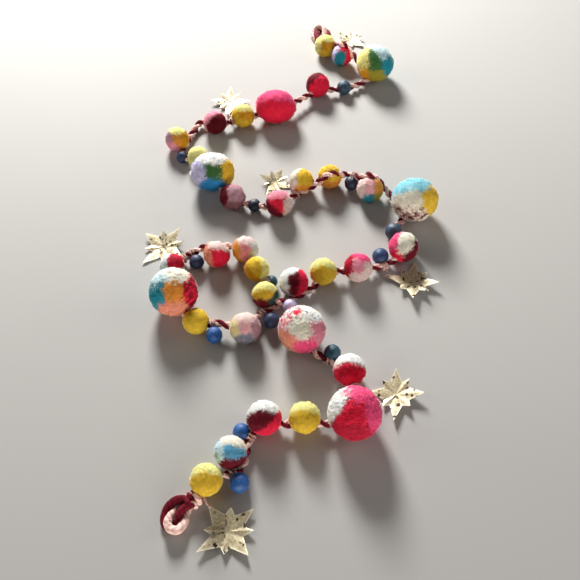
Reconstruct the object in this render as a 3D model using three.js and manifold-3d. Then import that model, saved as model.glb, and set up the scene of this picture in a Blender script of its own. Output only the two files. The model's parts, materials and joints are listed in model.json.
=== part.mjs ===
// Pom pom star garland, laid out in long zigzag rows on a flat surface.
//
// A thick twisted yarn cord, with a hanging loop knotted at each end, carries seven big pom poms,
// twenty-eight smaller ones, fourteen felt balls and seven folded brass stars. Poms and balls are tied
// on so closely that the cord runs through their pile, each has a small flat spot where it lies, and
// near its middle the garland passes over itself.
//
// Millimetres, +Z up. The surface is z = 0, and the origin is the middle of the garland on it.
// Every table runs along the cord, from the far end (+Y) to the near end (-Y).

import * as THREE from 'three';
import { mergeVertices } from 'three/addons/utils/BufferGeometryUtils.js';
import Module from 'manifold-3d';

const wasm = await Module();
wasm.setup();

// ---------------------------------------------------------------- driving dimensions

const cordDiameter = 7;
const cordSides = 8;
const cordSteps = 76;
const channelSides = 6;
const channelRoom = 1.1; // out at the corners of the channel, and less at its faces
const flatShare = 0.05; // how much of its radius a pom or ball gives way where it lies
const threadShare = 0.65; // how high in a pom the cord runs, as a share of the radius
const leastThreadHeight = 8; // in the small felt balls it runs near the middle
const loopDiameter = 9.5; // the same cord, slack and so fuller
const loopSteps = 16;
const knotRadius = 6.5;
const mergeDistance = 1e-4;
const surfaceSide = 1000;

const star = {
  longPoint: 30,
  shortPoint: 21,
  valley: 15,
  valleyShare: 0.38, // how far a valley lies from the short point towards the long one
  thickness: 1.2,
  dish: 4.2, // how far the middle lies below the long points
  shortDrop: 0.5, // and how far the short points do
  valleyDrop: 2.8, // and the valleys between points
};

// Colour, roughness and metalness of each material.
const finishes = {
  yellow: { color: 0xe0c84a, roughness: 0.95, metalness: 0 },
  crimson: { color: 0xc01f3d, roughness: 0.95, metalness: 0 },
  pink: { color: 0xdc3c6e, roughness: 0.95, metalness: 0 },
  maroon: { color: 0x5a0f1c, roughness: 0.95, metalness: 0 },
  blush: { color: 0xebbebb, roughness: 0.95, metalness: 0 },
  cream: { color: 0xf0e8d7, roughness: 0.95, metalness: 0 },
  aqua: { color: 0x6fc3d8, roughness: 0.95, metalness: 0 },
  felt: { color: 0x23457a, roughness: 0.9, metalness: 0 },
  brass: { color: 0xc8b98c, roughness: 0.4, metalness: 1 },
  cord: { color: 0x8c2a3c, roughness: 0.95, metalness: 0 },
};

// ---------------------------------------------------------------- the pieces on the cord

// stretch is how much longer a pom is along X than across it.
const bigPoms = [
  { name: 'big_pom_1', x: 118, y: 271, radius: 24.5, stretch: 1.06, finish: 'aqua' },
  { name: 'big_pom_2', x: -19, y: 185, radius: 22, stretch: 1.24, finish: 'pink' },
  { name: 'big_pom_3', x: -94.5, y: 66, radius: 23.5, stretch: 1.16, finish: 'aqua' },
  { name: 'big_pom_4', x: 147, y: 19, radius: 26, stretch: 1.07, finish: 'cream' },
  { name: 'big_pom_5', x: -125, y: -112, radius: 26.5, finish: 'aqua' },
  { name: 'big_pom_6', x: 12, y: -158, radius: 25, finish: 'cream' },
  { name: 'big_pom_7', x: 62, y: -252, radius: 26.5, finish: 'pink' },
];

const poms = [
  { name: 'pom_01', x: 51, y: 321, radius: 15.5, finish: 'yellow' },
  { name: 'pom_02', x: 74, y: 301, radius: 14.5, finish: 'aqua' },
  { name: 'pom_03', x: 38, y: 235, radius: 16, finish: 'crimson' },
  { name: 'pom_04', x: -62, y: 175, radius: 15, finish: 'yellow' },
  { name: 'pom_05', x: -98, y: 162, radius: 15, finish: 'maroon' },
  { name: 'pom_06', x: -145, y: 131, radius: 15, finish: 'yellow' },
  { name: 'pom_07', x: -116, y: 101, radius: 13, finish: 'yellow' },
  { name: 'pom_08', x: -69, y: 32, radius: 15.5, finish: 'maroon' },
  { name: 'pom_09', x: -13, y: 21, radius: 16, finish: 'crimson' },
  { name: 'pom_10', x: 14, y: 58, radius: 15, finish: 'yellow' },
  { name: 'pom_11', x: 49, y: 66, radius: 14.5, finish: 'yellow' },
  { name: 'pom_12', x: 97, y: 44, radius: 16, finish: 'blush' },
  { name: 'pom_13', x: 129, y: -45, radius: 17, finish: 'cream' },
  { name: 'pom_14', x: 76, y: -73, radius: 16, finish: 'crimson' },
  { name: 'pom_15', x: 37, y: -78, radius: 15, finish: 'yellow' },
  { name: 'pom_16', x: 4, y: -93, radius: 16, finish: 'maroon' },
  { name: 'pom_17', x: -47, y: -152, radius: 16.5, finish: 'blush' },
  { name: 'pom_18', x: -100, y: -142, radius: 14, finish: 'yellow' },
  { name: 'pom_19', x: -132, y: -70, radius: 14, finish: 'maroon' },
  { name: 'pom_20', x: -83, y: -54, radius: 15, finish: 'crimson' },
  { name: 'pom_21', x: -51, y: -47, radius: 15, finish: 'blush' },
  { name: 'pom_22', x: -37, y: -74, radius: 14, finish: 'yellow' },
  { name: 'pom_23', x: -27, y: -109, radius: 14.5, finish: 'yellow' },
  { name: 'pom_24', x: 60, y: -201, radius: 16.5, finish: 'crimson' },
  { name: 'pom_25', x: 14, y: -252, radius: 15.5, finish: 'yellow' },
  { name: 'pom_26', x: -25, y: -253, radius: 17, finish: 'maroon' },
  { name: 'pom_27', x: -56, y: -287, radius: 15.5, finish: 'cream' },
  { name: 'pom_28', x: -77, y: -313, radius: 15, finish: 'yellow' },
];

// lift is how far a ball is held off the surface by the cord under it.
const feltBalls = [
  { name: 'felt_ball_01', x: 74, y: 237, radius: 10, lift: 0 },
  { name: 'felt_ball_02', x: -137, y: 106, radius: 8, lift: 0 },
  { name: 'felt_ball_03', x: -43, y: 25, radius: 8, lift: 0 },
  { name: 'felt_ball_04', x: 76, y: 60, radius: 9, lift: 0 },
  { name: 'felt_ball_05', x: 121, y: -17, radius: 10, lift: 0 },
  { name: 'felt_ball_06', x: 103, y: -53, radius: 9.5, lift: 0 },
  { name: 'felt_ball_07', x: -20, y: -138, radius: 9, lift: 0 },
  { name: 'felt_ball_08', x: -80, y: -156, radius: 9, lift: 0 },
  { name: 'felt_ball_09', x: -106, y: -60, radius: 8.5, lift: 0 },
  { name: 'felt_ball_10', x: -21, y: -86, radius: 7, lift: 0 },
  { name: 'felt_ball_11', x: 0, y: -122, radius: 7.5, lift: 5 },
  { name: 'felt_ball_12', x: 44, y: -178, radius: 9, lift: 0 },
  { name: 'felt_ball_13', x: -47, y: -264, radius: 8.5, lift: 0 },
  { name: 'felt_ball_14', x: -47, y: -314, radius: 9.5, lift: 0 },
];

// size is a share of the full star. turn spins it in its own plane; lean and roll then tip it
// about X and Y. All three are in degrees.
const stars = [
  { name: 'star_1', x: 90, y: 352, size: 0.8, turn: 10, lean: 3, roll: 0 },
  { name: 'star_2', x: -82, y: 216, size: 0.9, turn: 50, lean: 4, roll: 3 },
  { name: 'star_3', x: -18, y: 67, size: 0.75, turn: 27, lean: 9, roll: 7 },
  { name: 'star_4', x: -147, y: -34, size: 1, turn: 12, lean: 6, roll: -4 },
  { name: 'star_5', x: 138, y: -83, size: 0.95, turn: -50, lean: -9, roll: -3 },
  { name: 'star_6', x: 107, y: -221, size: 0.95, turn: 45, lean: -2, roll: -7 },
  { name: 'star_7', x: -56, y: -356, size: 1, turn: 0, lean: 0, roll: 0 },
];

// Eight points in turn, long and short, as no two points of a hand-cut star are quite alike.
// angle is in degrees from +X; reach is a share of that kind of point.
const starPoints = [
  { kind: 'short', angle: 0, reach: 1.12 },
  { kind: 'long', angle: 40, reach: 1.0 },
  { kind: 'short', angle: 84, reach: 1.02 },
  { kind: 'long', angle: 130, reach: 0.97 },
  { kind: 'short', angle: 178, reach: 1.03 },
  { kind: 'long', angle: 215, reach: 1.08 },
  { kind: 'short', angle: 264, reach: 0.98 },
  { kind: 'long', angle: 312, reach: 0.98 },
];

// ---------------------------------------------------------------- the cord's route

const everyBall = [
  ...bigPoms.map((row) => ({ ...row, lift: 0, detail: 2 })),
  ...poms.map((row) => ({ ...row, lift: 0, detail: 1 })),
  ...feltBalls.map((row) => ({ ...row, finish: 'felt', detail: 1 })),
];

function centreOf(ball) {
  return new THREE.Vector3(ball.x, ball.y, ball.lift + ball.radius * (1 - flatShare));
}

function at(x, y, z) {
  return new THREE.Vector3(x, y, z);
}

function through(name) {
  const ball = everyBall.find((row) => row.name === name);
  const height = Math.max(leastThreadHeight, threadShare * ball.radius);
  return at(ball.x, ball.y, ball.lift + height);
}

// From the far knot to the near one: through a pom or ball, or at a point between, beside or over them.
const cordRoute = [
  at(48, 336, 8),
  through('pom_01'),
  at(63, 316, 18),
  at(74, 305, 29.5),
  at(86, 299, 20),
  at(107, 274, 9),
  at(110, 260, 8),
  at(98, 249, 6),
  through('felt_ball_01'),
  at(40, 229, 9),
  through('big_pom_2'),
  through('pom_04'),
  through('pom_05'),
  at(-117, 171, 7),
  at(-126, 157, 4.5),
  through('felt_ball_02'),
  through('pom_07'),
  through('big_pom_3'),
  through('pom_08'),
  through('felt_ball_03'),
  through('pom_09'),
  at(3, 39, 7),
  at(32, 53, 15),
  at(46, 57, 26.5),
  at(73, 70, 12),
  at(84, 60, 19),
  at(97, 52, 30.5),
  at(120, 46, 7),
  at(135, 8, 7),
  through('felt_ball_05'),
  through('pom_13'),
  at(112, -61, 6),
  through('pom_14'),
  through('pom_15'),
  at(25, -94, 6),
  at(-13, -115, 3.7),
  at(-33, -131, 7),
  through('pom_17'),
  at(-73, -144, 12),
  through('pom_18'),
  through('big_pom_5'),
  through('pom_19'),
  at(-117, -52, 8),
  at(-91, -43, 17),
  at(-78, -43, 17),
  through('pom_21'),
  through('pom_22'),
  at(-27, -89, 9),
  through('pom_23'),
  at(-13, -116, 12.6),
  through('felt_ball_11'),
  through('big_pom_6'),
  at(26, -177, 8),
  at(43, -186, 6),
  through('pom_24'),
  through('big_pom_7'),
  at(34, -256, 9),
  through('pom_25'),
  at(-6, -257, 9),
  through('pom_26'),
  at(-38, -268, 7),
  at(-47, -299, 5),
  through('pom_28'),
  at(-84, -323, 8),
];

// A loop leaves its knot, goes out, turns and comes back to the knot.
const endLoops = [
  {
    name: 'far_loop',
    knot: at(46.5, 343, 6),
    route: [at(44, 344, 6), at(38.5, 354, 5.5), at(37, 365, 5), at(40, 372, 5), at(45.5, 375, 5),
      at(51, 372, 5), at(54, 365, 5), at(52.5, 354, 5.5), at(48, 346, 6)],
  },
  {
    name: 'near_loop',
    knot: at(-88.5, -329, 6),
    route: [at(-90, -328, 6), at(-101, -330, 5.5), at(-108.5, -338, 5), at(-111.5, -347.5, 5),
      at(-108, -354, 5), at(-101.5, -354.5, 5), at(-98.5, -349, 5), at(-96.5, -340, 5.5),
      at(-90, -332, 6)],
  },
];

// ---------------------------------------------------------------- solids

function toSolid(geometry) {
  const bare = geometry.clone();
  bare.deleteAttribute('normal');
  bare.deleteAttribute('uv');
  const merged = mergeVertices(bare, mergeDistance);
  return new wasm.Manifold(new wasm.Mesh({
    numProp: 3,
    vertProperties: new Float32Array(merged.attributes.position.array),
    triVerts: new Uint32Array(merged.index.array),
  }));
}

function toGeometry(solid) {
  const mesh = solid.getMesh();
  const geometry = new THREE.BufferGeometry();
  geometry.setAttribute('position', new THREE.BufferAttribute(mesh.vertProperties, 3));
  geometry.setIndex(new THREE.BufferAttribute(mesh.triVerts, 1));
  return geometry;
}

function ropeAlong(points, radius, sides, steps) {
  const section = new THREE.Shape();
  for (let side = 0; side < sides; side += 1) {
    const angle = (2 * Math.PI * (side + 0.5)) / sides;
    const [x, y] = [radius * Math.cos(angle), radius * Math.sin(angle)];
    if (side === 0) section.moveTo(x, y);
    else section.lineTo(x, y);
  }
  section.closePath();
  return new THREE.ExtrudeGeometry(section, {
    extrudePath: new THREE.CatmullRomCurve3(points, false, 'centripetal'),
    steps,
    bevelEnabled: false,
  });
}

function sphereAt(centre, radius, detail, stretch = 1) {
  const sphere = new THREE.IcosahedronGeometry(radius, detail).scale(stretch, 1, 1);
  return sphere.translate(centre.x, centre.y, centre.z);
}

const belowSurface = new THREE.BoxGeometry(surfaceSide, surfaceSide, surfaceSide);
const surfaceBlock = toSolid(belowSurface.translate(0, 0, -surfaceSide / 2));
const channelRadius = cordDiameter / 2 + channelRoom;
const channel = toSolid(ropeAlong(cordRoute, channelRadius, channelSides, cordSteps));

function placedMesh(name, geometry, centre, finish) {
  geometry.translate(-centre.x, -centre.y, -centre.z);
  geometry.computeVertexNormals();
  const mesh = new THREE.Mesh(geometry, new THREE.MeshStandardMaterial(finishes[finish]));
  mesh.name = name;
  mesh.position.copy(centre);
  return mesh;
}

// A pom or ball: round, flat where it lies, with the way that the cord takes through it.
function ballMesh(ball) {
  const centre = centreOf(ball);
  const solid = toSolid(sphereAt(centre, ball.radius, ball.detail, ball.stretch))
    .subtract(surfaceBlock)
    .subtract(channel);
  return placedMesh(ball.name, toGeometry(solid), centre, ball.finish);
}

// A hanging loop and the knot that closes it, as one piece.
function loopMesh(loop) {
  const rope = toSolid(ropeAlong(loop.route, loopDiameter / 2, cordSides, loopSteps));
  const knot = toSolid(sphereAt(loop.knot, knotRadius, 1));
  return placedMesh(loop.name, toGeometry(rope.add(knot)), loop.knot, 'cord');
}

// A star's rim in turn: the points, and a valley between each two of them, nearer to the short one,
// so that the long points are broad and the short ones slender.
function starRim() {
  const rim = [];
  starPoints.forEach((point, index) => {
    const next = starPoints[(index + 1) % starPoints.length];
    const nextAngle = next.angle > point.angle ? next.angle : next.angle + 360;
    const full = point.kind === 'long' ? star.longPoint : star.shortPoint;
    rim.push({
      angle: point.angle,
      reach: full * point.reach,
      drop: point.kind === 'long' ? 0 : star.shortDrop,
    });
    const share = point.kind === 'short' ? star.valleyShare : 1 - star.valleyShare;
    rim.push({
      angle: THREE.MathUtils.lerp(point.angle, nextAngle, share),
      reach: star.valley,
      drop: star.valleyDrop,
    });
  });
  return rim;
}

// A star starts as a thin disc of radius 1. Its rim is pulled out to the points and valleys and its
// middle is pushed down, so that it is dished and a ridge runs out along every point.
function starGeometry(size) {
  const rim = starRim();
  const disc = new THREE.CylinderGeometry(1, 1, star.thickness, rim.length);
  disc.rotateX(Math.PI / 2);
  const position = disc.attributes.position;
  for (let index = 0; index < position.count; index += 1) {
    const [x, y, z] = [position.getX(index), position.getY(index), position.getZ(index)];
    const isMiddle = Math.hypot(x, y) < 0.5;
    if (isMiddle) {
      position.setZ(index, z - size * star.dish);
    } else {
      const turned = Math.round((Math.atan2(y, x) / (2 * Math.PI)) * rim.length);
      const corner = rim[(turned + rim.length) % rim.length];
      const angle = THREE.MathUtils.degToRad(corner.angle);
      const reach = size * corner.reach;
      position.setXYZ(index, reach * Math.cos(angle), reach * Math.sin(angle),
        z - size * corner.drop);
    }
  }
  disc.deleteAttribute('normal');
  disc.deleteAttribute('uv');
  return mergeVertices(disc, mergeDistance);
}

// A star lies on the surface with its lowest part.
function starMesh(row) {
  const geometry = starGeometry(row.size);
  geometry.computeVertexNormals();
  const mesh = new THREE.Mesh(geometry, new THREE.MeshStandardMaterial(finishes.brass));
  mesh.name = row.name;
  mesh.rotation.set(
    THREE.MathUtils.degToRad(row.lean),
    THREE.MathUtils.degToRad(row.roll),
    THREE.MathUtils.degToRad(row.turn),
  );
  const lowest = new THREE.Box3().setFromObject(mesh, true).min.z;
  mesh.position.set(row.x, row.y, -lowest);
  return mesh;
}

function cordMesh() {
  const rope = ropeAlong(cordRoute, cordDiameter / 2, cordSides, cordSteps);
  return placedMesh('cord', rope, at(0, 0, 0), 'cord');
}

// ---------------------------------------------------------------- the garland

const garland = new THREE.Group();
garland.add(cordMesh());
everyBall.forEach((ball) => garland.add(ballMesh(ball)));
endLoops.forEach((loop) => garland.add(loopMesh(loop)));
stars.forEach((row) => garland.add(starMesh(row)));

export default garland;
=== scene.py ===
"""Pom pom star garland: the yarn, felt, cord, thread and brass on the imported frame.

Laid out as an add-on and run as a script. Everything is in metres, in the frame's own axes:
+X across the rows, +Y towards the garland's far end, +Z up from the surface that it lies on.
"""

import json
import math

import bpy
import numpy as np
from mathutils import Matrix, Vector, noise


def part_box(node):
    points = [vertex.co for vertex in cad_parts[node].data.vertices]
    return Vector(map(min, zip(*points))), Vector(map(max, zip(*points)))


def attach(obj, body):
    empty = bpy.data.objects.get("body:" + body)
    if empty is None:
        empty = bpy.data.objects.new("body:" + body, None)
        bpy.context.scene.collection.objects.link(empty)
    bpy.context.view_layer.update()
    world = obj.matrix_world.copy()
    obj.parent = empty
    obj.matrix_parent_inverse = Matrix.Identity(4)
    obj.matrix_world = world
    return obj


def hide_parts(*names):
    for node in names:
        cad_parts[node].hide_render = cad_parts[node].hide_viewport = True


bl_info = {
    "name": "Pom Pom Star Garland",
    "version": (1, 0, 0),
    "blender": (4, 5, 0),
    "location": "View3D > Sidebar > Garland",
    "description": "Winds, felts and folds the pieces of a pom pom star garland",
    "category": "Add Mesh",
}

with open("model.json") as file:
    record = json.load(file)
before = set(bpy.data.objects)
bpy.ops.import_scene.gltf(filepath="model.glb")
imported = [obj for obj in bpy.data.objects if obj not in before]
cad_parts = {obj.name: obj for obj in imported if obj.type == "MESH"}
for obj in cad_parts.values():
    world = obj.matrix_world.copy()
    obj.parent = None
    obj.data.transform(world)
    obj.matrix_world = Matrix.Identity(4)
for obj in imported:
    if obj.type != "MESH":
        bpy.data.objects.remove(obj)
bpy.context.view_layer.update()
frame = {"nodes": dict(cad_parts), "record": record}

BIG_POMS = [f"big_pom_{number}" for number in range(1, 8)]
SMALL_POMS = [f"pom_{number:02d}" for number in range(1, 29)]
FELT_BALLS = [f"felt_ball_{number:02d}" for number in range(1, 15)]
STARS = [f"star_{number}" for number in range(1, 8)]
BODY = "root"
SEED = 7

# ---------------------------------------------------------------- dyes

# Every shade of the yarns, felts and threads.
DYES = {
    "yellow": "efbc34",
    # Lemon and ochre are yarns of their own, and on the yellow poms they also stand for painted light and
    # shade, as noted at PATCHES.
    "lemon": "f2e68c",
    "ochre": "d8921c",
    "olive": "9c9030",
    "green": "3c6c38",
    "crimson": "ec1c3e",
    "pink": "f8487c",
    "rose": "f68ea2",
    "maroon": "62081a",
    "blush": "f4cec6",
    "salmon": "e88a70",
    "orange": "e89038",
    "cream": "f4ead4",
    "white": "faf6f0",
    "ice": "cceaf2",
    "aqua": "84d0e4",
    "teal": "1c8496",
    "blue": "2c88c8",
    "navy": "1c3058",
    "ink": "182440",
    "slate": "28445c",
    "denim": "1c4070",
    "royal": "0e549c",
    "petrol": "14485c",
    "lavender": "c8c4ea",
    "mauve": "b88c98",
}

# The main yarn of each pom, then the patches of other yarn on it and the side where each one lies.
# Two dyes with a slash between them blend into one shade, and two with a plus stay apart as flecks.
# On the yellow poms the lemon patches are painted light, the pale glow of the sides that face the lamp, and
# the ochre main yarn of pom_01 and pom_04 is painted shade.
PATCHES = {
    "big_pom_1": "green, lemon left, ice far right, teal right, ochre near left, olive near",
    "big_pom_2": "crimson, pink far",
    "big_pom_3": "green, white far, lavender left, yellow right, blue near",
    "big_pom_4": "cream, aqua far, yellow right, maroon+cream near",
    "big_pom_5": "orange, cream far, ice far left, teal left, maroon+crimson right, salmon near",
    "big_pom_6": "cream, white far right, crimson+white far left, rose right, salmon near left, pink near",
    "big_pom_7": "crimson, white far left, pink far, pink right, crimson/maroon near",
    "pom_01": "ochre, lemon far, lemon left, yellow near",
    "pom_02": "teal, lavender far left, crimson far, crimson right",
    "pom_03": "crimson, maroon far left",
    "pom_04": "ochre, lemon far, yellow left, yellow near",
    "pom_05": "maroon, rose far left",
    "pom_06": "orange, lemon far, mauve left, ochre right, rose near left",
    "pom_07": "lemon",
    "pom_08": "mauve, maroon left, mauve/maroon near",
    "pom_09": "crimson, rose far, blush right, maroon near left",
    "pom_10": "yellow, cream left, orange near",
    "pom_11": "yellow, orange near",
    "pom_12": "blush/rose, blush left, orange right, olive near right, teal near",
    "pom_13": "cream, pink left, crimson near left, maroon near right",
    "pom_14": "rose, crimson/maroon left, pink far right, blush right, blush near",
    "pom_15": "yellow, lemon far",
    "pom_16": "maroon, white left, white far left, crimson right",
    "pom_17": "blush/rose, blush far, cream/yellow left, mauve right, teal/mauve near",
    "pom_18": "yellow",
    "pom_19": "maroon/crimson, white left, cream near",
    "pom_20": "crimson, blush far, salmon left",
    "pom_21": "salmon/rose, blush far, orange left, white right",
    "pom_22": "yellow, lemon right, ochre near left",
    "pom_23": "yellow, lemon far, green/navy near right, maroon near",
    "pom_24": "crimson, white far",
    "pom_25": "yellow, lemon far",
    "pom_26": "maroon, white far, crimson near right",
    "pom_27": "aqua/blue, cream far, ice left, maroon near",
    "pom_28": "yellow, lemon far",
}

# The main yarn of every pom faces this place before the garland. A patch at one side lies this many
# degrees from it, and one between two sides a little more. The edge is how sharply dyes give way.
PATCH_VIEW = Vector((0, -0.52, 0.63))
PATCH_SPREAD = 47
PATCH_EDGE = 42

# How far the border between patches wanders, as a whole and from tuft to tuft.
BORDER_WANDER = 0.09
BORDER_FRAY = 0.03

# From one clump of tufts to the next, and how many broad lumps cross a pom.
CLUMP_SIZE = 0.0038
LUMPS = 2.5

# How much longer a pom is along X than across it.
STRETCHES = {"big_pom_1": 1.06, "big_pom_2": 1.24, "big_pom_3": 1.16, "big_pom_4": 1.07}

# The wool of each felt ball.
FELTS = {
    "felt_ball_01": "slate", "felt_ball_02": "navy", "felt_ball_03": "ink", "felt_ball_04": "ink",
    "felt_ball_05": "slate", "felt_ball_06": "denim", "felt_ball_07": "navy", "felt_ball_08": "royal",
    "felt_ball_09": "navy", "felt_ball_10": "petrol", "felt_ball_11": "lavender", "felt_ball_12": "petrol",
    "felt_ball_13": "royal", "felt_ball_14": "royal",
}


def linear(code):
    """The scene-linear colour of a hex code."""
    channels = [int(code[start:start + 2], 16) / 255 for start in (0, 2, 4)]
    return [c / 12.92 if c <= 0.04045 else ((c + 0.055) / 1.055) ** 2.4 for c in channels]


def color_property(name, description, code):
    return bpy.props.FloatVectorProperty(
        name=name, description=description, subtype="COLOR", size=3, min=0, max=1, default=linear(code)
    )


def length_property(name, description, default):
    return bpy.props.FloatProperty(
        name=name, description=description, default=default, min=0, unit="LENGTH", precision=5
    )


def share_property(name, description, default, low=0, high=1):
    return bpy.props.FloatProperty(name=name, description=description, default=default, min=low, max=high)


def place_property(name, description, default):
    return bpy.props.FloatVectorProperty(
        name=name, description=description, subtype="TRANSLATION", size=3, default=default
    )


def power_property(name, description, default):
    return bpy.props.FloatProperty(name=name, description=description, default=default, min=0, unit="POWER")


# ---------------------------------------------------------------- settings


class GarlandPile(bpy.types.PropertyGroup):
    big_spacing: length_property("Big Pom Spacing", "Between the tufts of a big pom", 0.0018)
    small_spacing: length_property("Small Pom Spacing", "Between the tufts of a small pom", 0.0016)
    tuft_length: length_property("Tuft Length", "Of the yarn ends that stand out of a pom", 0.0030)
    core_share: share_property("Core", "Share of a pom's radius that is packed yarn", 0.965, low=0.5)
    lean: share_property("Lean", "How far tufts lean out of line", 0.3)
    ragged: share_property("Ragged", "How unevenly the tufts are trimmed", 0.018, high=0.2)
    clumps: length_property("Clumps", "How far the clumps of tufts stand out", 0.0010)
    wisps: share_property("Wisps", "Share of the tufts that are thin and stand out", 0.25)
    softness: share_property("Softness", "How far the tufts are shaded as one round pile", 0.75)


class GarlandCord(bpy.types.PropertyGroup):
    thickness: length_property("Thickness", "Of the two plies, pressed together", 0.007)
    loop_thickness: length_property("Loop Thickness", "Of the slack plies in an end loop", 0.0095)
    fullness: share_property(
        "Fullness", "How far soft yarn swells past the pressed plies", 1.28, low=1, high=1.4
    )
    loop_fullness: share_property(
        "Loop Fullness", "The same in an end loop, which is slack", 1.5, low=1, high=1.6
    )
    pitch: length_property("Pitch", "Of one full turn of the plies", 0.020)
    loop_pitch: length_property("Loop Pitch", "Of one full turn of the plies in an end loop", 0.060)
    loop_turn: share_property("Loop Turn", "Share of a turn that an end loop begins with", 0.6)
    thread: length_property("Thread", "Thickness of the threads that tie stars and balls on", 0.0030)
    dark: color_property("Dark Ply", "Yarn of the dark ply", "6c0c20")
    pale: color_property("Pale Ply", "Yarn of the pale ply", "f6cec4")


class GarlandBrass(bpy.types.PropertyGroup):
    cuts: bpy.props.IntProperty(
        name="Cuts", description="How finely each fold of a star is divided", default=9, min=1, max=12
    )
    dents: length_property("Dents", "Depth of the hammered dents", 0.0003)
    metal: color_property("Metal", "Bare metal", "ccbf9c")
    # Worn also colours the painted highlight over all but the middle of each star.
    worn: color_property("Worn Metal", "Metal that is rubbed bright, as along the rim", "ece4cc")
    patina: color_property("Patina", "Tarnish in the grain of the metal", "98875f")
    # Pits also colours the painted shade in the folds of each star.
    pits: color_property("Pits", "Dark pits in the metal", "4a3820")


class GarlandStage(bpy.types.PropertyGroup):
    camera_place: place_property("Camera", "Place of the camera", (0, -0.518, 0.630))
    camera_tilt: bpy.props.FloatProperty(
        name="Tilt", description="Of the camera, up from straight down", subtype="ANGLE",
        default=math.radians(34),
    )
    lens: bpy.props.FloatProperty(name="Lens", description="Focal length in millimetres", default=42.2)
    lamp_place: place_property("Lamp", "Place of the lamp behind the garland", (-0.36, 1.45, 0.84))
    lamp_size: length_property("Lamp Size", "Side of the square lamp", 0.46)
    lamp_power: power_property("Lamp Power", "Of the lamp behind the garland", 69)
    window_place: place_property("Window", "Place of the right one of two soft lights", (1.6, 0.1, 0.8))
    window_size: length_property("Window Size", "Side of each soft light", 1.0)
    left_power: power_property("Left Power", "Of the soft light at the left", 6)
    right_power: power_property("Right Power", "Of the soft light at the right", 7.5)
    screen_place: place_property("Screen", "Place of the pale screen before the garland", (0.3, -3.2, 0.29))
    screen_width: length_property("Screen Width", "Of the low, wide screen", 3.0)
    screen_height: length_property("Screen Height", "Of the low, wide screen", 0.5)
    screen_power: power_property("Screen Power", "Of the light that the screen gives back", 95)
    room: bpy.props.FloatProperty(name="Room", description="Light from all round", default=0.07, min=0)
    floor: color_property("Floor", "Colour of the floor", "b5b4b2")


class GarlandSettings(bpy.types.PropertyGroup):
    pile: bpy.props.PointerProperty(type=GarlandPile)
    cord: bpy.props.PointerProperty(type=GarlandCord)
    brass: bpy.props.PointerProperty(type=GarlandBrass)
    stage: bpy.props.PointerProperty(type=GarlandStage)


# ---------------------------------------------------------------- the cord's route

# A pom or ball rests on a flat spot, which takes this share of its radius away.
FLAT_SHARE = 0.05

# The cord runs through it at this share of its radius above that spot, or at least this high.
STRUNG_SHARE = 0.65
LEAST_STRUNG_HEIGHT = 0.008


def ball_of(node):
    """Centre and radius of a pom or ball, which rests on a small flat spot."""
    low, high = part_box(node)
    radius = (high.z - low.z) / (2 - FLAT_SHARE)
    return Vector(((low.x + high.x) / 2, (low.y + high.y) / 2, high.z - radius)), radius


BALLS = {node: ball_of(node) for node in BIG_POMS + SMALL_POMS + FELT_BALLS}


def at(x, y, z):
    return Vector((x, y, z))


def through(node):
    """Where the cord runs inside a pom or ball."""
    centre, radius = BALLS[node]
    lowest = centre.z - radius * (1 - FLAT_SHARE)
    return at(centre.x, centre.y, lowest + max(LEAST_STRUNG_HEIGHT, STRUNG_SHARE * radius))


# From the far knot to the near one: through a pom or ball, or at a point between, beside or over them.
CORD_ROUTE = [
    at(0.048, 0.336, 0.008),
    through("pom_01"),
    at(0.063, 0.316, 0.018),
    at(0.074, 0.305, 0.0295),
    at(0.086, 0.299, 0.020),
    at(0.107, 0.274, 0.009),
    at(0.110, 0.260, 0.008),
    at(0.098, 0.249, 0.006),
    through("felt_ball_01"),
    at(0.040, 0.229, 0.009),
    through("big_pom_2"),
    through("pom_04"),
    through("pom_05"),
    at(-0.117, 0.171, 0.007),
    at(-0.126, 0.157, 0.0045),
    through("felt_ball_02"),
    through("pom_07"),
    through("big_pom_3"),
    through("pom_08"),
    through("felt_ball_03"),
    through("pom_09"),
    at(0.003, 0.039, 0.007),
    at(0.032, 0.053, 0.015),
    at(0.046, 0.057, 0.0265),
    at(0.073, 0.070, 0.012),
    at(0.084, 0.060, 0.019),
    at(0.097, 0.052, 0.0305),
    at(0.120, 0.046, 0.007),
    at(0.135, 0.008, 0.007),
    through("felt_ball_05"),
    through("pom_13"),
    at(0.112, -0.061, 0.006),
    through("pom_14"),
    through("pom_15"),
    at(0.025, -0.094, 0.006),
    at(-0.013, -0.115, 0.0037),
    at(-0.033, -0.131, 0.007),
    through("pom_17"),
    at(-0.073, -0.144, 0.012),
    through("pom_18"),
    through("big_pom_5"),
    through("pom_19"),
    at(-0.117, -0.052, 0.008),
    at(-0.091, -0.043, 0.017),
    at(-0.078, -0.043, 0.017),
    through("pom_21"),
    through("pom_22"),
    at(-0.027, -0.089, 0.009),
    through("pom_23"),
    at(-0.013, -0.116, 0.0126),
    through("felt_ball_11"),
    through("big_pom_6"),
    at(0.026, -0.177, 0.008),
    at(0.043, -0.186, 0.006),
    through("pom_24"),
    through("big_pom_7"),
    at(0.034, -0.256, 0.009),
    through("pom_25"),
    at(-0.006, -0.257, 0.009),
    through("pom_26"),
    at(-0.038, -0.268, 0.007),
    at(-0.047, -0.299, 0.005),
    through("pom_28"),
    at(-0.084, -0.323, 0.008),
]

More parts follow.
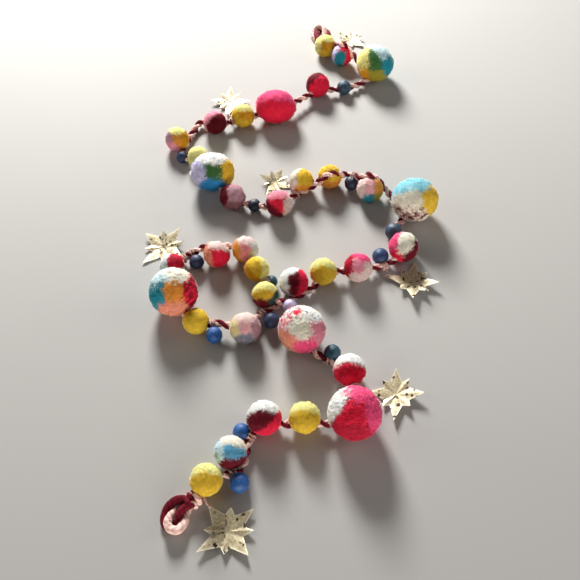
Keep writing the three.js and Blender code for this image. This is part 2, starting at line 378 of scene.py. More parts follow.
# Each end loop leaves its knot, goes out, turns and comes back to the knot.
END_LOOPS = {
    "far_loop": {
        "knot": at(0.0465, 0.343, 0.006),
        "route": [
            at(0.044, 0.344, 0.006), at(0.0385, 0.354, 0.0055), at(0.037, 0.365, 0.005),
            at(0.040, 0.372, 0.005), at(0.0455, 0.375, 0.005), at(0.051, 0.372, 0.005),
            at(0.054, 0.365, 0.005), at(0.0525, 0.354, 0.0055), at(0.048, 0.346, 0.006),
        ],
    },
    "near_loop": {
        "knot": at(-0.0885, -0.329, 0.006),
        "route": [
            at(-0.090, -0.328, 0.006), at(-0.101, -0.330, 0.0055), at(-0.1085, -0.338, 0.005),
            at(-0.1115, -0.3475, 0.005), at(-0.108, -0.354, 0.005), at(-0.1015, -0.3545, 0.005),
            at(-0.0985, -0.349, 0.005), at(-0.0965, -0.340, 0.0055), at(-0.090, -0.332, 0.006),
        ],
    },
}


def between(first, second, start, end, now):
    return first + (second - first) * ((now - start) / (end - start))


def travel(path):
    """How far along a path each of its points lies."""
    return np.concatenate([[0], np.cumsum(np.linalg.norm(np.diff(path, axis=0), axis=1))])


def smooth_path(points, spacing):
    """Evenly spaced points on the centripetal Catmull-Rom curve through the given ones."""
    corners = [np.array(point) for point in points]
    corners = [2 * corners[0] - corners[1], *corners, 2 * corners[-1] - corners[-2]]
    shares = np.linspace(0, 1, 24, endpoint=False)
    curve = []
    for p0, p1, p2, p3 in zip(corners, corners[1:], corners[2:], corners[3:]):
        strides = [math.sqrt(np.linalg.norm(b - a)) for a, b in ((p0, p1), (p1, p2), (p2, p3))]
        t0, t1, t2, t3 = np.cumsum([0, *strides])
        for now in t1 + shares * (t2 - t1):
            p01, p12 = between(p0, p1, t0, t1, now), between(p1, p2, t1, t2, now)
            p23 = between(p2, p3, t2, t3, now)
            p012, p123 = between(p01, p12, t0, t2, now), between(p12, p23, t1, t3, now)
            curve.append(between(p012, p123, t1, t2, now))
    curve = np.array([*curve, corners[-2]])
    travelled = travel(curve)
    stops = np.linspace(0, travelled[-1], max(3, round(travelled[-1] / spacing)))
    return np.stack([np.interp(stops, travelled, curve[:, axis]) for axis in range(3)], axis=1)


CORD_PATH = smooth_path(CORD_ROUTE, spacing=0.0016)

# How high above the surface yarn, packed yarn and brass that would sink into it are pressed flat.
YARN_REST = 0.0002
CORE_REST = 0.0004
BRASS_REST = 0.0001

# ---------------------------------------------------------------- mesh helpers


def unit(vectors):
    return vectors / np.linalg.norm(vectors, axis=-1, keepdims=True)


def deselect_all():
    bpy.ops.object.select_all(action="DESELECT")


def select_only(*pieces):
    deselect_all()
    for piece in pieces:
        piece.select_set(True)
    bpy.context.view_layer.objects.active = pieces[0]


def new_object(name, data):
    thing = bpy.data.objects.new(name, data)
    bpy.context.scene.collection.objects.link(thing)
    return thing


def mesh_piece(name, places, faces, tones):
    """A new smooth object from vertex places, faces and a dye for each vertex."""
    mesh = bpy.data.meshes.new(name)
    mesh.from_pydata(places.tolist(), [], faces)
    mesh.shade_smooth()
    piece = new_object(name, mesh)
    paint(piece, tones)
    return piece


def paint(piece, tones):
    """Writes a dye for each vertex, as the attribute that the materials read."""
    tones = np.concatenate([tones, np.ones((len(tones), 1))], axis=1)
    attribute = piece.data.attributes.new("dye", "FLOAT_COLOR", "POINT")
    attribute.data.foreach_set("color", tones.astype(np.float32).ravel())


def places_of(piece):
    places = np.empty(3 * len(piece.data.vertices))
    piece.data.vertices.foreach_get("co", places)
    return places.reshape(-1, 3)


def move_vertices(piece, places):
    piece.data.vertices.foreach_set("co", places.ravel())
    piece.data.update()


def rough(places, scale, offset=Vector()):
    """Smooth noise from about -1 to 1 at each place, finer with a larger scale."""
    return np.array([noise.noise(Vector(place) * scale + offset) for place in places])


def apply_place(piece):
    select_only(piece)
    bpy.ops.object.transform_apply(location=True, rotation=True, scale=True)


def settle(piece, material, slot, *nodes):
    """Gives a finished piece its material and body, and hides the solids that it stands for. The slot is not
    used.
    """
    piece.data.materials.clear()
    piece.data.materials.append(material)
    if nodes:
        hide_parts(*nodes)
    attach(piece, BODY)


def slot_of(node):
    for subpart in frame["record"]["subparts"]:
        if subpart["node"] == node:
            return subpart["material_slot"]
    raise RuntimeError(f"{node} has no slot in the record")


# ---------------------------------------------------------------- materials


def blank_material(name):
    """A new material's nodes, with its shader."""
    material = bpy.data.materials.new(name)
    material.use_nodes = True
    nodes = material.node_tree.nodes
    return material, nodes, material.node_tree.links, nodes["Principled BSDF"]


def attribute_node(nodes, name):
    """Reads what a mesh holds under this name at each vertex."""
    node = nodes.new("ShaderNodeAttribute")
    node.attribute_name = name
    return node


def noise_node(nodes, links, coordinates, scale, detail=2.0, roughness=0.5):
    node = nodes.new("ShaderNodeTexNoise")
    node.inputs["Scale"].default_value = scale
    node.inputs["Detail"].default_value = detail
    node.inputs["Roughness"].default_value = roughness
    links.new(coordinates, node.inputs["Vector"])
    return node


def ramp_node(nodes, links, value, stops):
    """A colour ramp; stops are (position, grey or colour)."""
    node = nodes.new("ShaderNodeValToRGB")
    elements = node.color_ramp.elements
    while len(elements) < len(stops):
        elements.new(1.0)
    for element, (position, color) in zip(elements, stops):
        element.position = position
        element.color = (*color, 1) if hasattr(color, "__len__") else (color, color, color, 1)
    links.new(value, node.inputs["Fac"])
    return node


def multiplied(nodes, links, first, second):
    node = nodes.new("ShaderNodeMix")
    node.data_type = "RGBA"
    node.blend_type = "MULTIPLY"
    node.inputs["Factor"].default_value = 1
    links.new(first, node.inputs["A"])
    links.new(second, node.inputs["B"])
    return node.outputs["Result"]


def bumped(nodes, links, shader, height, strength, distance):
    node = nodes.new("ShaderNodeBump")
    node.inputs["Strength"].default_value = strength
    node.inputs["Distance"].default_value = distance
    links.new(height, node.inputs["Height"])
    links.new(node.outputs["Normal"], shader.inputs["Normal"])


def wool_shader(shader, gloss, sheen, fuzz=0.22, roughness=0.75):
    shader.inputs["Roughness"].default_value = roughness
    shader.inputs["Specular IOR Level"].default_value = gloss
    shader.inputs["Sheen Weight"].default_value = sheen
    shader.inputs["Sheen Roughness"].default_value = fuzz
    shader.inputs["Sheen Tint"].default_value = (1.0, 0.95, 0.9, 1)


def dye_and_bump(nodes, links, shader, grain, stops, strength, distance):
    """Gives a shader its dye, broken up by a grain that also roughens the surface."""
    shade = ramp_node(nodes, links, grain, stops)
    color = multiplied(nodes, links, attribute_node(nodes, "dye").outputs["Color"], shade.outputs["Color"])
    links.new(color, shader.inputs["Base Color"])
    bumped(nodes, links, shader, grain, strength, distance)


def make_yarn():
    """Cut wool yarn: the dye of each tuft, broken up by its fibres."""
    material, nodes, links, shader = blank_material("cut_yarn")
    wool_shader(shader, gloss=0.15, sheen=0.6, fuzz=0.2)
    shader.inputs["Subsurface Weight"].default_value = 0.5
    shader.inputs["Subsurface Scale"].default_value = 0.002
    shader.inputs["Subsurface Radius"].default_value = (1.0, 0.7, 0.6)
    place = nodes.new("ShaderNodeTexCoord").outputs["Object"]
    fibre = noise_node(nodes, links, place, scale=900, detail=3).outputs["Fac"]
    dye_and_bump(nodes, links, shader, fibre, [(0.3, 0.88), (0.7, 1.0)], strength=0.4, distance=0.0004)
    return material


def make_felt():
    """Needled felt: matted fibres, with paler ones on the surface."""
    material, nodes, links, shader = blank_material("wool_felt")
    wool_shader(shader, gloss=0.55, sheen=0.8, fuzz=0.15, roughness=0.5)
    place = nodes.new("ShaderNodeTexCoord").outputs["Object"]
    matted = noise_node(nodes, links, place, scale=650, detail=6, roughness=0.65).outputs["Fac"]
    stops = [(0.3, 0.72), (0.62, 1.0), (0.75, 1.25)]
    dye_and_bump(nodes, links, shader, matted, stops, strength=0.8, distance=0.0005)
    return material


def make_spun_yarn():
    """The cord's plies: spun strands that run slantwise round each ply."""
    material, nodes, links, shader = blank_material("spun_yarn")
    wool_shader(shader, gloss=0.15, sheen=0.3)
    winding = nodes.new("ShaderNodeUVMap")
    winding.uv_map = "winding"
    strands = nodes.new("ShaderNodeTexWave")
    strands.bands_direction = "DIAGONAL"
    strands.inputs["Scale"].default_value = 2.2
    strands.inputs["Distortion"].default_value = 1.2
    strands.inputs["Detail"].default_value = 2
    links.new(winding.outputs["UV"], strands.inputs["Vector"])
    grain, stops = strands.outputs["Fac"], [(0.0, 0.68), (0.6, 1.0)]
    dye_and_bump(nodes, links, shader, grain, stops, strength=0.8, distance=0.0005)
    return material


def make_brass(brass):
    """Thin pale lacquered brass: tarnish in its grain and dark pits, with a painted highlight over all of
    each star but its middle, in the bright colour of worn metal, and painted shade in patches of its folds.
    """
    material, nodes, links, shader = blank_material("pale_brass")
    shader.inputs["Metallic"].default_value = 0.5
    shader.inputs["Coat Weight"].default_value = 0.4
    shader.inputs["Coat Roughness"].default_value = 0.4
    place = nodes.new("ShaderNodeTexCoord").outputs["Object"]
    grain = noise_node(nodes, links, place, scale=420, detail=5, roughness=0.75)
    tone = ramp_node(
        nodes, links, grain.outputs["Fac"],
        [(0.34, list(brass.patina)), (0.5, list(brass.metal)), (0.72, list(brass.worn))],
    )
    # Painted highlight: all but the middle of each star is painted the bright worn colour, standing in for
    # edges that catch the light.
    rim = attribute_node(nodes, "rim")
    rubbed = ramp_node(nodes, links, rim.outputs["Fac"], [(0.86, 0.0), (0.96, 1.0)])
    color = nodes.new("ShaderNodeMix")
    color.data_type = "RGBA"
    links.new(rubbed.outputs["Color"], color.inputs["Factor"])
    links.new(tone.outputs["Color"], color.inputs["A"])
    color.inputs["B"].default_value = (*brass.worn, 1)
    pits = nodes.new("ShaderNodeTexVoronoi")
    pits.inputs["Scale"].default_value = 130
    links.new(warped(nodes, links, place), pits.inputs["Vector"])
    pitted = ramp_node(nodes, links, pits.outputs["Distance"], [(0.2, list(brass.pits)), (0.27, 1.0)])
    finish = multiplied(nodes, links, color.outputs["Result"], pitted.outputs["Color"])
    # Painted shade: noisy patches in the middle and valleys of each star, where its folds meet, are painted
    # the dark colour of the pits.
    fold = attribute_node(nodes, "fold")
    patchy = noise_node(nodes, links, place, scale=90, detail=2)
    crease_shade_amount = nodes.new("ShaderNodeMath")
    crease_shade_amount.operation = "MULTIPLY"
    links.new(fold.outputs["Fac"], crease_shade_amount.inputs[0])
    links.new(patchy.outputs["Fac"], crease_shade_amount.inputs[1])
    painted_crease_shade = ramp_node(nodes, links, crease_shade_amount.outputs["Value"], [(0.52, 1.0), (0.64, list(brass.pits))])
    links.new(multiplied(nodes, links, finish, painted_crease_shade.outputs["Color"]), shader.inputs["Base Color"])
    rough = ramp_node(nodes, links, grain.outputs["Fac"], [(0.3, 0.6), (0.7, 0.42)])
    links.new(rough.outputs["Color"], shader.inputs["Roughness"])
    bumped(nodes, links, shader, grain.outputs["Fac"], strength=0.3, distance=0.0004)
    return material


def warped(nodes, links, coordinates):
    """Coordinates that wander a little, for shapes that are not quite round."""
    wander = noise_node(nodes, links, coordinates, scale=200, detail=1)
    drift = nodes.new("ShaderNodeVectorMath")
    drift.operation = "SCALE"
    drift.inputs["Scale"].default_value = 0.006
    links.new(wander.outputs["Color"], drift.inputs[0])
    total = nodes.new("ShaderNodeVectorMath")
    links.new(coordinates, total.inputs[0])
    links.new(drift.outputs["Vector"], total.inputs[1])
    return total.outputs["Vector"]


def make_floor(stage):
    material, nodes, links, shader = blank_material("pale_floor")
    shader.inputs["Roughness"].default_value = 0.9
    shader.inputs["Specular IOR Level"].default_value = 0.1
    place = nodes.new("ShaderNodeTexCoord").outputs["Object"]
    cloud = noise_node(nodes, links, place, scale=3, detail=1)
    low, high = [0.97 * c for c in stage.floor], list(stage.floor)
    tone = ramp_node(nodes, links, cloud.outputs["Fac"], [(0.3, low), (0.7, high)])
    links.new(tone.outputs["Color"], shader.inputs["Base Color"])
    return material


def material_of(name):
    """A finish, made when it is first asked for."""
    made = bpy.data.materials.get(name)
    if made:
        return made
    settings = bpy.context.scene.garland
    makers = {
        "cut_yarn": make_yarn,
        "wool_felt": make_felt,
        "spun_yarn": make_spun_yarn,
        "pale_brass": lambda: make_brass(settings.brass),
        "pale_floor": lambda: make_floor(settings.stage),
    }
    return makers[name]()


# ---------------------------------------------------------------- cord and thread

# Radius of one ply, as a share of the thickness of the whole.
PLY_SHARE = 0.29

# The coil that wraps each knot.
KNOT_RADIUS = 0.0042
KNOT_TURNS = 2.0
KNOT_SPACING = 0.006


def carried_frames(path):
    """Tangents and two cross directions at each point of a path, turned as little as can be."""
    tangents = unit(np.gradient(path, axis=0))
    first = np.cross(tangents[0], (0.0, 0.0, 1.0))
    normals = [unit(first)]
    for tangent in tangents[1:]:
        carried = normals[-1] - tangent * (normals[-1] @ tangent)
        normals.append(unit(carried))
    normals = np.array(normals)
    return tangents, normals, np.cross(tangents, normals)


def tube_faces(rings, sides, start):
    """Quads of a tube and the caps of its ends, for vertices that begin at start."""
    faces = []
    for ring in range(rings - 1):
        for side in range(sides):
            here, there = start + ring * sides, start + (ring + 1) * sides
            beside = (side + 1) % sides
            faces.append((here + side, here + beside, there + beside, there + side))
    last = start + (rings - 1) * sides
    faces.append(tuple(start + side for side in reversed(range(sides))))
    faces.append(tuple(last + side for side in range(sides)))
    return faces


def wind(name, path, thickness, pitch, dyes, sides=12, turn=0):
    """Plies wound round a path, one for each dye, each a closed tube of slightly uneven yarn."""
    _, across, over = carried_frames(path)
    travelled = travel(path)
    ply_radius = PLY_SHARE * thickness
    offset = 0.5 * thickness - ply_radius
    turns = 2 * math.pi * np.arange(sides) / sides
    places, faces, tones = [], [], []
    for number, dye in enumerate(dyes):
        phase = 2 * math.pi * (travelled / pitch + turn + number / len(dyes))
        outward = np.cos(phase)[:, None] * across + np.sin(phase)[:, None] * over
        sideways = -np.sin(phase)[:, None] * across + np.cos(phase)[:, None] * over
        uneven = np.array([noise.noise(Vector((160 * s, 9.0 * number, 0))) for s in travelled])
        strands = 1 + 0.07 * np.cos(3 * turns[None, :] + 2.2 * phase[:, None])
        reach = ply_radius * (1 + 0.1 * uneven[:, None]) * strands
        ring = (
            np.cos(turns)[None, :, None] * outward[:, None, :]
            + np.sin(turns)[None, :, None] * sideways[:, None, :]
        )
        tube = (path + offset * outward)[:, None, :] + reach[:, :, None] * ring
        faces += tube_faces(len(path), sides, start=number * len(path) * sides)
        places.append(tube.reshape(-1, 3))
        worn = 1 + 0.2 * np.array([noise.noise(Vector((90 * s, 4.0, number))) for s in travelled])
        tones.append(np.repeat(worn[:, None] * np.array(dye)[None, :], sides, axis=0))
    places = np.concatenate(places)
    places[:, 2] = np.maximum(places[:, 2], YARN_REST)
    piece = mesh_piece(name, places, faces, np.clip(np.concatenate(tones), 0, 1))
    lay_winding(piece, len(path), sides, travelled[-1] / len(path) / thickness, len(dyes))
    return piece


def lay_winding(piece, rings, sides, stride, plies):
    """The UV map that runs round each ply and along it, so that strands can follow the twist."""
    layer = piece.data.uv_layers.new(name="winding")
    corners = []
    for _ in range(plies):
        for ring in range(rings - 1):
            for side in range(sides):
                left, right = side / sides, (side + 1) / sides
                low, high = ring * stride, (ring + 1) * stride
                corners += [left, low, right, low, right, high, left, high]
        corners += [0.5, 0.5] * sides * 2
    layer.data.foreach_set("uv", corners)


def knot_path(centre, along, radius, turns, spacing):
    """A short coil round a line, for a wrapped knot."""
    along = np.array(along.normalized())
    across = unit(np.cross(along, (0.0, 0.0, 1.0)))
    over = np.cross(along, across)
    steps = np.linspace(0, 1, int(turns * 24))
    angles = 2 * math.pi * turns * steps
    return (
        np.array(centre)
        + (steps[:, None] - 0.5) * turns * spacing * along
        + radius * (np.cos(angles)[:, None] * across + np.sin(angles)[:, None] * over)
    )


class GARLAND_OT_cord(bpy.types.Operator):
    """Winds the long cord of a dark and a pale ply along its route"""

    bl_idname = "garland.cord"
    bl_label = "Wind Cord"

    def execute(self, context):
        cord = context.scene.garland.cord
        dyes = [list(cord.dark), list(cord.pale)]
        piece = wind("long_cord", CORD_PATH, cord.fullness * cord.thickness, cord.pitch, dyes)
        settle(piece, material_of("spun_yarn"), "cord", "cord")
        return {"FINISHED"}


class GARLAND_OT_end_loops(bpy.types.Operator):
    """Winds the hanging loop and the wrapped knot at each end"""

    bl_idname = "garland.end_loops"
    bl_label = "Wind End Loops"

    def execute(self, context):
        cord = context.scene.garland.cord
        dyes = [list(cord.dark), list(cord.pale)]
        for node, loop in END_LOOPS.items():
            path = smooth_path(loop["route"], spacing=0.0015)
            eye = sum(loop["route"], Vector()) / len(loop["route"])
            coil = knot_path(loop["knot"], eye - loop["knot"], KNOT_RADIUS, KNOT_TURNS, KNOT_SPACING)
            knot = wind(node + "_knot", coil, cord.fullness * cord.thickness, cord.pitch, dyes)
            settle(knot, material_of("spun_yarn"), "cord")
            fullness = cord.loop_fullness * cord.loop_thickness
            piece = wind(node + "_rope", path, fullness, cord.loop_pitch, dyes, sides=16, turn=cord.loop_turn)
            settle(piece, material_of("spun_yarn"), "cord", node)
        return {"FINISHED"}


def tie_thread(name, start, cord):
    """A slack thread from a star or ball to the nearest stretch of cord, and twice round it."""
    nearest = max(1, np.linalg.norm(CORD_PATH - np.array(start), axis=1).argmin())
    middle, along = Vector(CORD_PATH[nearest]), Vector(CORD_PATH[nearest] - CORD_PATH[nearest - 1])
    ring = knot_path(
        middle, along, radius=0.5 * cord.fullness * cord.thickness, turns=2, spacing=1.1 * cord.thread
    )
    slack = (Vector(start) + Vector(ring[0])) / 2
    slack.z = max(cord.thread, slack.z)
    path = smooth_path([start, slack, *[Vector(point) for point in ring[::4]]], spacing=0.0008)
    pale = np.array(cord.pale)
    piece = wind(name, path, cord.thread, pitch=3 * cord.thread, dyes=[pale, 0.8 * pale], sides=6)
    settle(piece, material_of("spun_yarn"), "cord")


class GARLAND_OT_threads(bpy.types.Operator):
    """Ties the stars, and the balls that are not strung on the cord, to it"""

    bl_idname = "garland.threads"
    bl_label = "Tie Threads"

    def execute(self, context):
        cord = context.scene.garland.cord
        for node in STARS:
            corners = [Vector(vertex.co) for vertex in frame["nodes"][node].data.vertices]
            middle = sum(corners, Vector()) / len(corners)
            tip = min(corners, key=lambda corner: np.linalg.norm(CORD_PATH - np.array(corner), axis=1).min())
            hole = tip + 0.1 * (middle - tip) + Vector((0, 0, 0.001))
            tie_thread(node + "_thread", hole, cord)
        for node in FELT_BALLS:
            centre, radius = BALLS[node]
            gaps = np.linalg.norm(CORD_PATH - np.array(centre), axis=1)
            if gaps.min() > 0.5 * radius:
                towards = (Vector(CORD_PATH[gaps.argmin()]) - centre).normalized()
                tie_thread(node + "_thread", centre + 0.9 * radius * towards, cord)
        return {"FINISHED"}


# ---------------------------------------------------------------- poms

# How far a tuft ends from a pom's middle, as a share of its radius, and how much farther a wisp does.
TUFT_REACH = 0.975
WISP_REACH = 0.025

# Widths of a tuft and of a wisp, as shares of the spacing between tufts.
TUFT_WIDTH = 1.75
WISP_WIDTH = 0.5

# Tufts keep this share of the cord's thickness from its middle line, of which only the part within
# this distance of a pom matters, and end outside this share of a neighbour's radius.
CORD_ROOM = 0.58
CORD_NEARBY = 0.06
NEIGHBOUR_ROOM = 0.97


def patch_directions(node):
    """The direction of each patch of a pom, of which the first faces the near side."""
    outward = unit(np.array(PATCH_VIEW - BALLS[node][0]))
    sideways = unit(np.array((1, 0, 0)) - outward[0] * outward)
    upward = np.cross(outward, sideways)
    step = math.tan(math.radians(PATCH_SPREAD))
    directions = []
    for patch in PATCHES[node].split(", "):
        column = ("right" in patch) - ("left" in patch)
        row = ("far" in patch) - ("near" in patch)
        directions.append(outward + step * (column * sideways + row * upward))
    return unit(np.array(directions))


def patch_dyes(node):
    """The two dyes of each patch, which are alike where it has only one, and whether they stay apart."""
    yarns = [patch.split()[0] for patch in PATCHES[node].split(", ")]
    names = [yarn.replace("+", "/").split("/") for yarn in yarns]
    pairs = np.array([(linear(DYES[pair[0]]), linear(DYES[pair[-1]])) for pair in names])
    return pairs, np.array(["+" in yarn for yarn in yarns])


def clump_heights(node, directions):
    """How far the clumps of tufts stand out, from about -1 to 1."""
    centre, radius = BALLS[node]
    return np.array([
        noise.noise(Vector(direction) * radius / CLUMP_SIZE + centre * 100) for direction in directions
    ])


def tuft_tones(node, directions, random):
    """A dye for each tuft, where neighbouring patches blend over a ragged border, with painted light and
    shade on the clumps.
    """
    spots = patch_directions(node)
    pairs, flecked = patch_dyes(node)
    wander = [rough(directions, LUMPS, Vector((7.0 * number, 0, 0))) for number in range(len(spots))]
    nearness = directions @ spots.T + BORDER_WANDER * np.stack(wander, axis=1)
    weights = np.exp(PATCH_EDGE * (nearness + random.normal(0, BORDER_FRAY, nearness.shape)))
    weights /= weights.sum(axis=1, keepdims=True)
    clumps = clump_heights(node, directions)[:, None]
    apart = 0.45 + 1.4 * clumps + random.normal(0, 0.25, (len(directions), 1))
    share = np.clip(np.where(flecked, apart, 0.5 + 0.3 * clumps), 0, 1)
    tones = (weights * (1 - share)) @ pairs[:, 0] + (weights * share) @ pairs[:, 1]
    # Random tone from tuft to tuft, and painted light and shade: clumps that stand out are painted lighter
    # and the hollows between them darker.
    worn = 1 + 0.2 * clumps + random.normal(0, 0.05, (len(directions), 1))
    return np.clip(tones * worn, 0, 1)


def spread_directions(count, random):
    """Directions spread evenly over a ball, with a little disorder."""
    step = np.arange(count) + 0.5
    height = 1 - 2 * step / count
    bearing = step * math.pi * (3 - math.sqrt(5))
    flat = np.sqrt(1 - height**2)
    directions = np.stack([flat * np.cos(bearing), flat * np.sin(bearing), height], axis=1)
    return unit(directions + random.normal(0, 0.7 / math.sqrt(count), directions.shape))


def model_tuft():
    """One tuft of cut yarn of unit length and width, flared and blunt, that ends at the origin."""
    deselect_all()
    bpy.ops.mesh.primitive_cone_add(vertices=3, radius1=0.36, radius2=0.5, depth=1, location=(0, 0, -0.5))
    tuft = bpy.context.object
    apply_place(tuft)
    for face in tuft.data.polygons:
        face.select = face.normal.z > 0.9
    bpy.ops.object.mode_set(mode="EDIT")
    bpy.ops.mesh.select_mode(type="FACE")
    bpy.ops.mesh.poke(offset=0.08)
    bpy.ops.object.mode_set(mode="OBJECT")
    places = places_of(tuft)
    faces = [tuple(face.vertices) for face in tuft.data.polygons]
    bpy.data.objects.remove(tuft)
    return places, faces


def plant_tufts(tuft, tips, axes, widths, length, random):
    """Copies of one tuft, each ending at its own place, on its own axis and turned at random."""
    places, faces = tuft
    spin = 2 * math.pi * random.random(len(tips))
    helper = np.where(np.abs(axes[:, 2:]) > 0.9, (1.0, 0.0, 0.0), (0.0, 0.0, 1.0))
    across = unit(np.cross(helper, axes))
    over = np.cross(axes, across)
    first = np.cos(spin)[:, None] * across + np.sin(spin)[:, None] * over
    second = np.cross(axes, first)
    copies = (
        tips[:, None, :]
        + widths[:, None, None] * places[None, :, 0, None] * first[:, None, :]
        + widths[:, None, None] * places[None, :, 1, None] * second[:, None, :]
        + length * places[None, :, 2, None] * axes[:, None, :]
    )
    all_faces = [
        tuple(corner + len(places) * number for corner in face)
        for number in range(len(tips))
        for face in faces
    ]
    return copies.reshape(-1, 3), all_faces


def clear_of_cord(tips, thickness):
    """Which tufts end clear of the cord."""
    near = CORD_PATH[np.linalg.norm(CORD_PATH - tips.mean(axis=0), axis=1) < CORD_NEARBY]
    gaps = np.linalg.norm(tips[:, None, :] - near[None, :, :], axis=2).min(axis=1)
    return gaps > CORD_ROOM * thickness


def stretch_of(node):
    return np.array((STRETCHES.get(node, 1), 1, 1))


def clear_of_neighbours(node, tips):
    """Which tufts end outside every other pom and ball."""
    clear = np.ones(len(tips), bool)
    for other, (centre, radius) in BALLS.items():
        if other != node:
            offsets = (tips - np.array(centre)) / stretch_of(other)
            clear &= np.linalg.norm(offsets, axis=1) > NEIGHBOUR_ROOM * radius
    return clear


def make_pom(node, spacing, pile, thickness):
    """A ball of packed yarn with its cut ends standing out all round, flat where it lies."""
    random = np.random.default_rng([SEED, (BIG_POMS + SMALL_POMS).index(node)])
    centre, radius = BALLS[node]
    stretch = stretch_of(node)
    directions = spread_directions(int(4 * math.pi * radius**2 / spacing**2), random)
    lumps = rough(directions, LUMPS, centre * 100)
    wisps = random.random(len(directions)) < pile.wisps
    uneven = 1.4 * lumps + random.normal(0, 0.5, len(directions))
    reach = TUFT_REACH + pile.ragged * uneven + WISP_REACH * wisps
    reach += pile.clumps * clump_heights(node, directions) / radius
    tips = np.array(centre) + radius * reach[:, None] * directions * stretch
    kept = clear_of_cord(tips, thickness) & clear_of_neighbours(node, tips)
    directions, wisps, tips = directions[kept], wisps[kept], tips[kept]
    axes = unit(directions + random.normal(0, pile.lean, directions.shape))
    widths = spacing * np.where(wisps, WISP_WIDTH, TUFT_WIDTH) * random.uniform(0.85, 1.15, len(tips))
    tuft = model_tuft()
    copies, faces = plant_tufts(tuft, tips, axes, widths, pile.tuft_length, random)
    copies[:, 2] = np.maximum(copies[:, 2], YARN_REST)
    tones = tuft_tones(node, directions, random)
    # Painted shade: each tuft is painted darker towards its foot, deep in the pile.
    painted_foot_shade = 1 - 0.15 * np.clip(-tuft[0][:, 2], 0, 1)
    shaded = tones[:, None, :] * painted_foot_shade[None, :, None]
    pom = mesh_piece(node + "_pile", copies, faces, shaded.reshape(-1, 3))
    core = make_core(node, pile, stretch, random)
    select_only(pom, core)
    bpy.ops.object.join()
    soften(pom, centre, pile.softness)
    settle(pom, material_of("cut_yarn"), slot_of(node), node)


def soften(pom, centre, softness):
    """Shades the tufts as one round pile, because light spreads from yarn end to yarn end."""
    own = np.empty(3 * len(pom.data.vertices))
    pom.data.vertices.foreach_get("normal", own)
    outward = unit(places_of(pom) - np.array(centre))
    normals = unit(softness * outward + (1 - softness) * own.reshape(-1, 3))
    pom.data.normals_split_custom_set_from_vertices(normals.tolist())


def make_core(node, pile, stretch, random):
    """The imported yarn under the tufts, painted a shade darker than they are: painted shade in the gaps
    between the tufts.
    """
    centre, radius = BALLS[node]
    deselect_all()
    bpy.ops.mesh.primitive_ico_sphere_add(subdivisions=4, radius=pile.core_share * radius, location=centre)
    core = bpy.context.object
    apply_place(core)
    places = places_of(core)
    directions = unit(places - np.array(centre))
    places = np.array(centre) + (places - np.array(centre)) * stretch
    places[:, 2] = np.maximum(places[:, 2], CORE_REST)
    move_vertices(core, places)
    core.data.shade_smooth()
    # Painted shade: the core is painted darker than the tufts, because the gaps between them lie in shade.
    paint(core, 0.95 * tuft_tones(node, directions, random))
    return core


class GARLAND_OT_poms(bpy.types.Operator):
    """Winds the seven big poms and the twenty-eight small ones"""

    bl_idname = "garland.poms"
    bl_label = "Wind Poms"

    def execute(self, context):
        pile, thickness = context.scene.garland.pile, context.scene.garland.cord.thickness
        for nodes, spacing in ((BIG_POMS, pile.big_spacing), (SMALL_POMS, pile.small_spacing)):
            for node in nodes:
                make_pom(node, spacing, pile, thickness)
        return {"FINISHED"}


# ---------------------------------------------------------------- felt balls


def make_felt_ball(node):
    """A needled ball, not quite round, with shallow dimples."""
    centre, radius = BALLS[node]
    deselect_all()
    bpy.ops.mesh.primitive_ico_sphere_add(subdivisions=5, radius=radius, location=centre)
    ball = bpy.context.object
    ball.name = node + "_felt"
    apply_place(ball)
    places = places_of(ball)
    directions = unit(places - np.array(centre))
    out_of_round = 0.03 * rough(directions, 1.6, centre * 90)
    dimples = 0.022 * rough(directions, 7, centre * 90)
    nap = 0.012 * rough(directions, 18, centre * 90)
    swell = out_of_round + dimples + nap
    places = np.array(centre) + (radius * (0.985 + swell))[:, None] * directions
    floor = centre.z - radius * (1 - FLAT_SHARE)
    places[:, 2] = np.maximum(places[:, 2], floor)
    move_vertices(ball, places)
    ball.data.shade_smooth()
    wool = np.array(linear(DYES[FELTS[node]]))
    mixed = rough(directions, 3, centre * 60)
    paint(ball, np.clip(wool[None, :] * (1 + 0.35 * mixed)[:, None], 0, 1))
    settle(ball, material_of("wool_felt"), slot_of(node), node)


class GARLAND_OT_felt_balls(bpy.types.Operator):
    """Felts the blue and navy balls"""

    bl_idname = "garland.felt_balls"
    bl_label = "Felt Balls"

    def execute(self, context):
        for node in FELT_BALLS:
            make_felt_ball(node)
        return {"FINISHED"}


# ---------------------------------------------------------------- stars


def make_star(node, brass):
    """A folded star of thin brass, from its solid: merged, divided and lightly hammered."""
    solid = frame["nodes"][node]
    star = new_object(node + "_brass", solid.data.copy())
    select_only(star)
    bpy.ops.object.mode_set(mode="EDIT")
    bpy.ops.mesh.select_all(action="SELECT")
    bpy.ops.mesh.remove_doubles(threshold=0.00001)
    bpy.ops.object.mode_set(mode="OBJECT")
    mark_folds(star)
    bpy.ops.object.mode_set(mode="EDIT")
    bpy.ops.mesh.subdivide(number_cuts=brass.cuts)
    bpy.ops.object.mode_set(mode="OBJECT")
    places = places_of(star)
    dents = rough(places, 140) + 0.5 * rough(places, 380)
    places[:, 2] = np.maximum(places[:, 2] + brass.dents * dents, BRASS_REST)
    move_vertices(star, places)
    bpy.ops.object.shade_smooth_by_angle(angle=math.radians(20))
    settle(star, material_of("pale_brass"), slot_of(node), node)


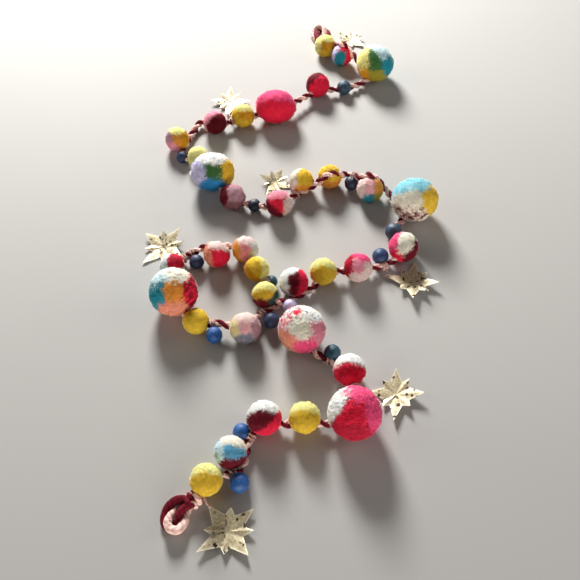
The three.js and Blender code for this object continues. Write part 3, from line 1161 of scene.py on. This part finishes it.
def mark_folds(star):
    """Writes which corners get the painted highlight, all but those at the middle, and which lie in a fold
    and get patches of painted shade: the middle and the valleys.
    """
    places = places_of(star)
    reach = np.linalg.norm((places - places.mean(axis=0))[:, :2], axis=1)
    rim = star.data.attributes.new("rim", "FLOAT", "POINT")
    rim.data.foreach_set("value", (reach > 0.2 * reach.max()).astype(np.float32))
    fold = star.data.attributes.new("fold", "FLOAT", "POINT")
    fold.data.foreach_set("value", (reach < 0.55 * reach.max()).astype(np.float32))


class GARLAND_OT_stars(bpy.types.Operator):
    """Makes the seven folded brass stars from their solids"""

    bl_idname = "garland.stars"
    bl_label = "Fold Stars"

    def execute(self, context):
        for node in STARS:
            make_star(node, context.scene.garland.brass)
        return {"FINISHED"}


# ---------------------------------------------------------------- stage

FLOOR_SIZE = 8
FLOOR_DROP = 0.0003

# The warmth of each light.
LAMP_COLOR = (1.0, 0.985, 0.955)
WINDOW_COLOR = (1.0, 0.97, 0.93)
SCREEN_COLOR = (1.0, 0.94, 0.88)
ROOM_COLOR = (1.0, 0.92, 0.86, 1)


class GARLAND_OT_stage(bpy.types.Operator):
    """Lays the floor and sets up the camera and the lights"""

    bl_idname = "garland.stage"
    bl_label = "Set Stage"

    def execute(self, context):
        stage = context.scene.garland.stage
        self.lay_floor(stage)
        self.set_lights(context, stage)
        self.set_camera(context, stage)
        return {"FINISHED"}

    def lay_floor(self, stage):
        deselect_all()
        bpy.ops.mesh.primitive_plane_add(size=FLOOR_SIZE, location=(0, 0, -FLOOR_DROP))
        floor = bpy.context.object
        floor.name = "floor"
        floor.data.materials.append(material_of("pale_floor"))

    def set_lights(self, context, stage):
        lamp = self.add_light("lamp", stage.lamp_place, stage.lamp_power, LAMP_COLOR)
        lamp.size = stage.lamp_size
        away, along, height = stage.window_place
        for name, side, power in (("left", -1, stage.left_power), ("right", 1, stage.right_power)):
            window = self.add_light(name, (side * away, along, height), power, WINDOW_COLOR)
            window.size = stage.window_size
        screen = self.add_light("screen", stage.screen_place, stage.screen_power, SCREEN_COLOR)
        screen.shape = "RECTANGLE"
        screen.size = stage.screen_width
        screen.size_y = stage.screen_height
        world = bpy.data.worlds.new("soft_light")
        world.use_nodes = True
        background = world.node_tree.nodes["Background"]
        background.inputs["Color"].default_value = ROOM_COLOR
        background.inputs["Strength"].default_value = stage.room
        context.scene.world = world
        context.scene.view_settings.view_transform = "Standard"

    def add_light(self, name, place, power, color):
        """A flat light that faces the garland's middle."""
        light = bpy.data.lights.new(name, "AREA")
        light.energy = power
        light.color = color
        holder = new_object(name, light)
        holder.location = place
        holder.rotation_euler = (-Vector(place)).to_track_quat("-Z", "Y").to_euler()
        return light

    def set_camera(self, context, stage):
        camera = bpy.data.cameras.new("camera")
        camera.lens = stage.lens
        camera.sensor_width = 36
        camera.clip_start = 0.01
        holder = new_object("camera", camera)
        holder.location = stage.camera_place
        holder.rotation_euler = (stage.camera_tilt, 0, 0)
        context.scene.camera = holder


class GARLAND_PT_panel(bpy.types.Panel):
    """Buttons that build the garland, in the order of its making"""

    bl_label = "Garland"
    bl_idname = "GARLAND_PT_panel"
    bl_space_type = "VIEW_3D"
    bl_region_type = "UI"
    bl_category = "Garland"

    def draw(self, context):
        for operator in OPERATORS:
            self.layout.operator(operator.bl_idname)


# ---------------------------------------------------------------- registering and running

OPERATORS = [
    GARLAND_OT_stage,
    GARLAND_OT_cord,
    GARLAND_OT_end_loops,
    GARLAND_OT_threads,
    GARLAND_OT_poms,
    GARLAND_OT_felt_balls,
    GARLAND_OT_stars,
]

CLASSES = [
    GarlandPile, GarlandCord, GarlandBrass, GarlandStage, GarlandSettings, *OPERATORS, GARLAND_PT_panel,
]


def register():
    for each in CLASSES:
        bpy.utils.register_class(each)
    bpy.types.Scene.garland = bpy.props.PointerProperty(type=GarlandSettings)


def unregister():
    del bpy.types.Scene.garland
    for each in reversed(CLASSES):
        bpy.utils.unregister_class(each)


def main():
    register()
    bpy.ops.garland.stage()
    bpy.ops.garland.cord()
    bpy.ops.garland.end_loops()
    bpy.ops.garland.threads()
    bpy.ops.garland.poms()
    bpy.ops.garland.felt_balls()
    bpy.ops.garland.stars()


if __name__ == "__main__":
    main()
